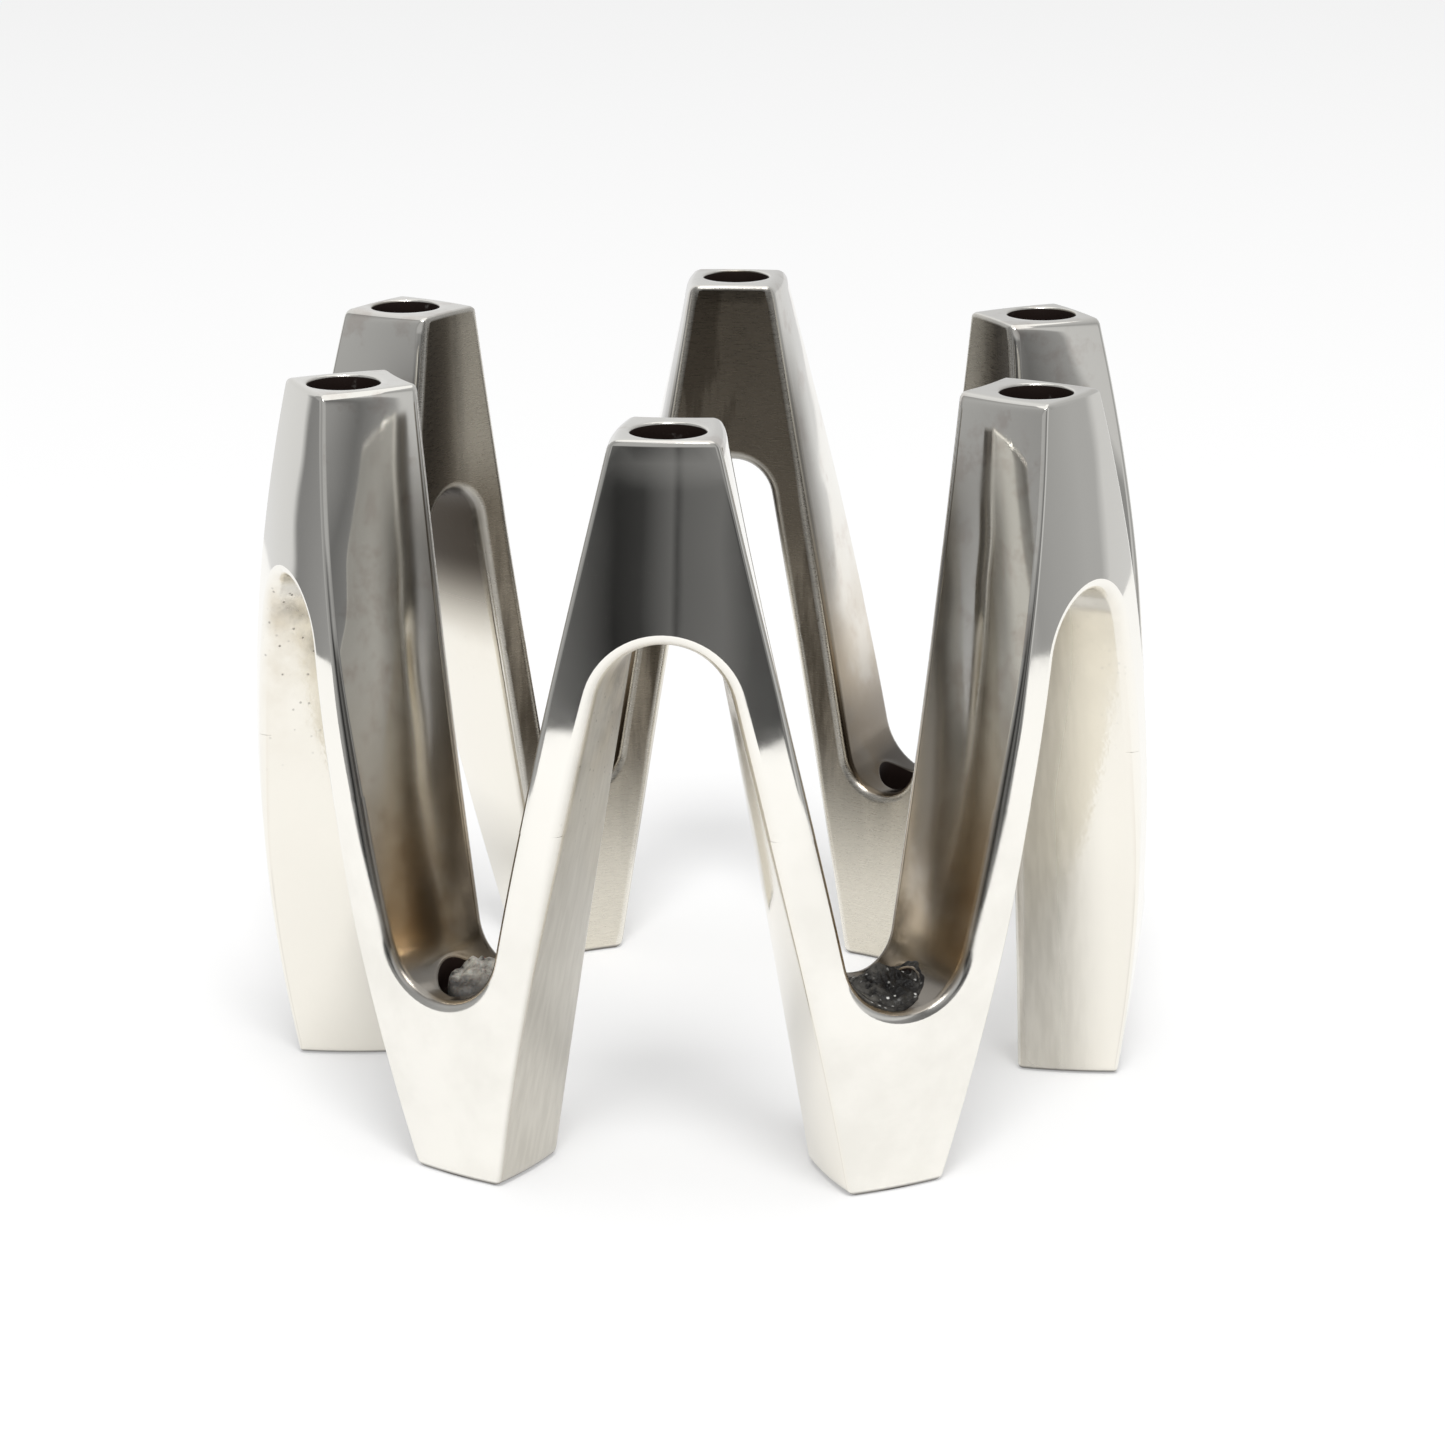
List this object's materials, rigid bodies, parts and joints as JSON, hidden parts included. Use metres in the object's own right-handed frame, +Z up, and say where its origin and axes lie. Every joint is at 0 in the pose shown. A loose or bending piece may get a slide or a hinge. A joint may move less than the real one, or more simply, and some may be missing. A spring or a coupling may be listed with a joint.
{
  "type": "candle holder",
  "caption": "Crown-shaped zigzag ring of polished silver-plated castings, with a round socket for a thin taper candle in each peak and each valley floor.",
  "frame": {"origin": "centre of the ring on the plane of the foot soles", "axes": "+Z up along the ring's axis and the candle sockets, -Y towards the front peak, +X to the right seen from the front"},
  "size_m": [0.1528, 0.1528, 0.1264],
  "materials": {
    "silver_plate": "polished silver plate, mirror bright outside, satin and lightly tarnished inside",
    "candle_wax": "sooty grey-white candle wax",
    "charred_wax": "black charred wax crust"
  },
  "bodies": {
    "ring": {"peak_front": "silver_plate", "peak_front_right": "silver_plate", "peak_back_right": "silver_plate", "peak_back": "silver_plate", "peak_back_left": "silver_plate", "peak_front_left": "silver_plate", "foot_front_right": "silver_plate", "foot_right": "silver_plate", "foot_back_right": "silver_plate", "foot_back_left": "silver_plate", "foot_left": "silver_plate", "foot_front_left": "silver_plate", "wax_residue": "charred_wax"},
    "stub": {"candle_stub": "candle_wax"}
  },
  "joints": [
    {"name": "stub_lift", "type": "slide", "parent": "ring", "child": "stub", "axis": [0, 0, 1], "range_m": [0, 0.03]}
  ]
}
